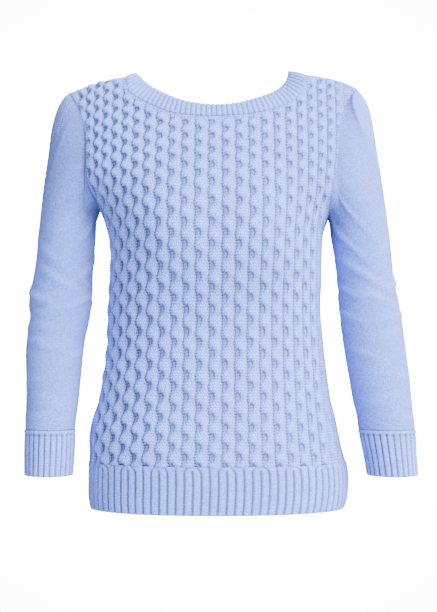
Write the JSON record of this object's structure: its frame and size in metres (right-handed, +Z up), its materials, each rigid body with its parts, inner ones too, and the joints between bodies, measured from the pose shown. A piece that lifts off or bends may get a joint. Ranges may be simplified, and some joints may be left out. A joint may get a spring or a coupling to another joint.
{
  "type": "cable knit pullover sweater",
  "caption": "Hollow women's pullover in its worn form, with a cabled front, wide round ribbed neck, three-quarter sleeves and deep ribbed cuffs and hem.",
  "frame": {"origin": "midway between the two side-neck points, at the height of the shoulders, where the wearer's shoulders hold the sweater up", "axes": "+Z up, +X to the viewer's right seen from the front (the wearer's left), -Y the way the front faces"},
  "size_m": [0.5071, 0.2336, 0.5684],
  "materials": {
    "cable_knit": "soft matte light blue wool knit, in vertical cables",
    "plain_knit": "soft matte light blue wool knit, in stockinette",
    "rib_knit": "soft matte light blue wool knit, in rib"
  },
  "bodies": {
    "root": {"front_panel": "cable_knit", "back_panel": "plain_knit", "sleeve_right": "plain_knit", "sleeve_left": "plain_knit", "neckband": "rib_knit", "hem_front": "rib_knit", "hem_back": "rib_knit", "cuff_right": "rib_knit", "cuff_left": "rib_knit"}
  },
  "joints": []
}
